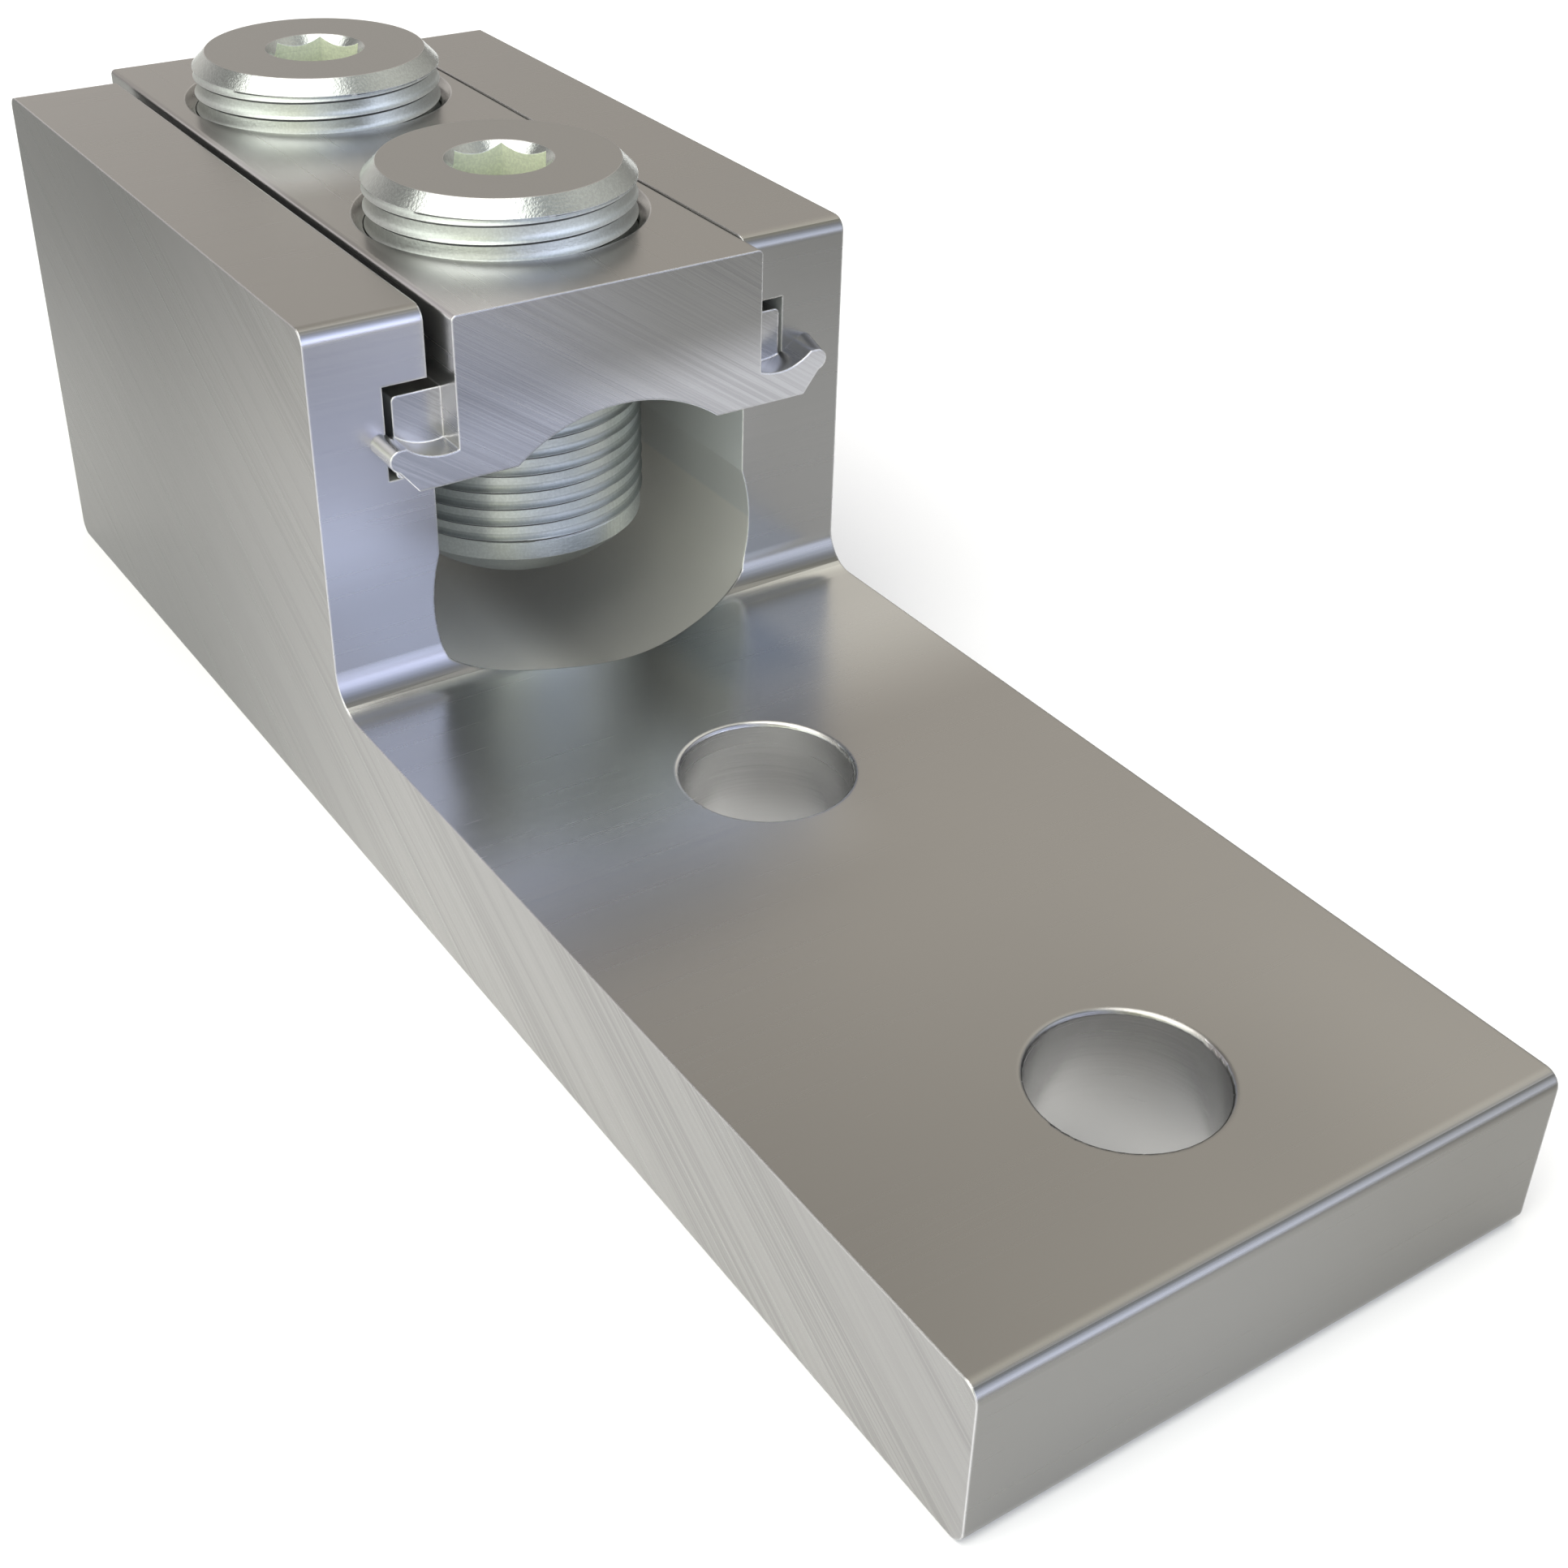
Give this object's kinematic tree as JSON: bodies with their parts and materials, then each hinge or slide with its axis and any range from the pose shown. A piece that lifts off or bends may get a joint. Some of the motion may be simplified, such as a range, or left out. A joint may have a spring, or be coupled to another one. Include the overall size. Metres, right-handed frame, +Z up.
{
  "type": "two-hole set-screw terminal lug",
  "caption": "Aluminium mechanical cable lug: a block barrel with a drilled wire bore, a slide-in cap carrying hex socket set screws, and a flat drilled tang for bolting to a busbar.",
  "frame": {"origin": "midway between the two bolt holes, on the flat mounting face under the tang", "axes": "+X along the tang towards its tip, away from the cable entry; +Y across the width; +Z up, out of the mounting face, along the bolt holes and the screws"},
  "size_m": [0.1606, 0.0508, 0.0521],
  "materials": {
    "body_aluminium": "mill-finish extrusion with fine brushed and sawn faces",
    "cap_aluminium": "mill-finish extrusion with sawn end faces",
    "screw_metal": "satin plated, turned, with rolled threads"
  },
  "bodies": {
    "lug": {"body": "body_aluminium", "cap": "cap_aluminium"},
    "front_screw": {"screw_front": "screw_metal"},
    "back_screw": {"screw_back": "screw_metal"}
  },
  "joints": [
    {"name": "screw_front_travel", "type": "slide", "parent": "lug", "child": "front_screw", "axis": [0, 0, 1], "range_m": [-0.0075, 0.022]},
    {"name": "screw_back_travel", "type": "slide", "parent": "lug", "child": "back_screw", "axis": [0, 0, 1], "range_m": [-0.0075, 0.022]}
  ]
}
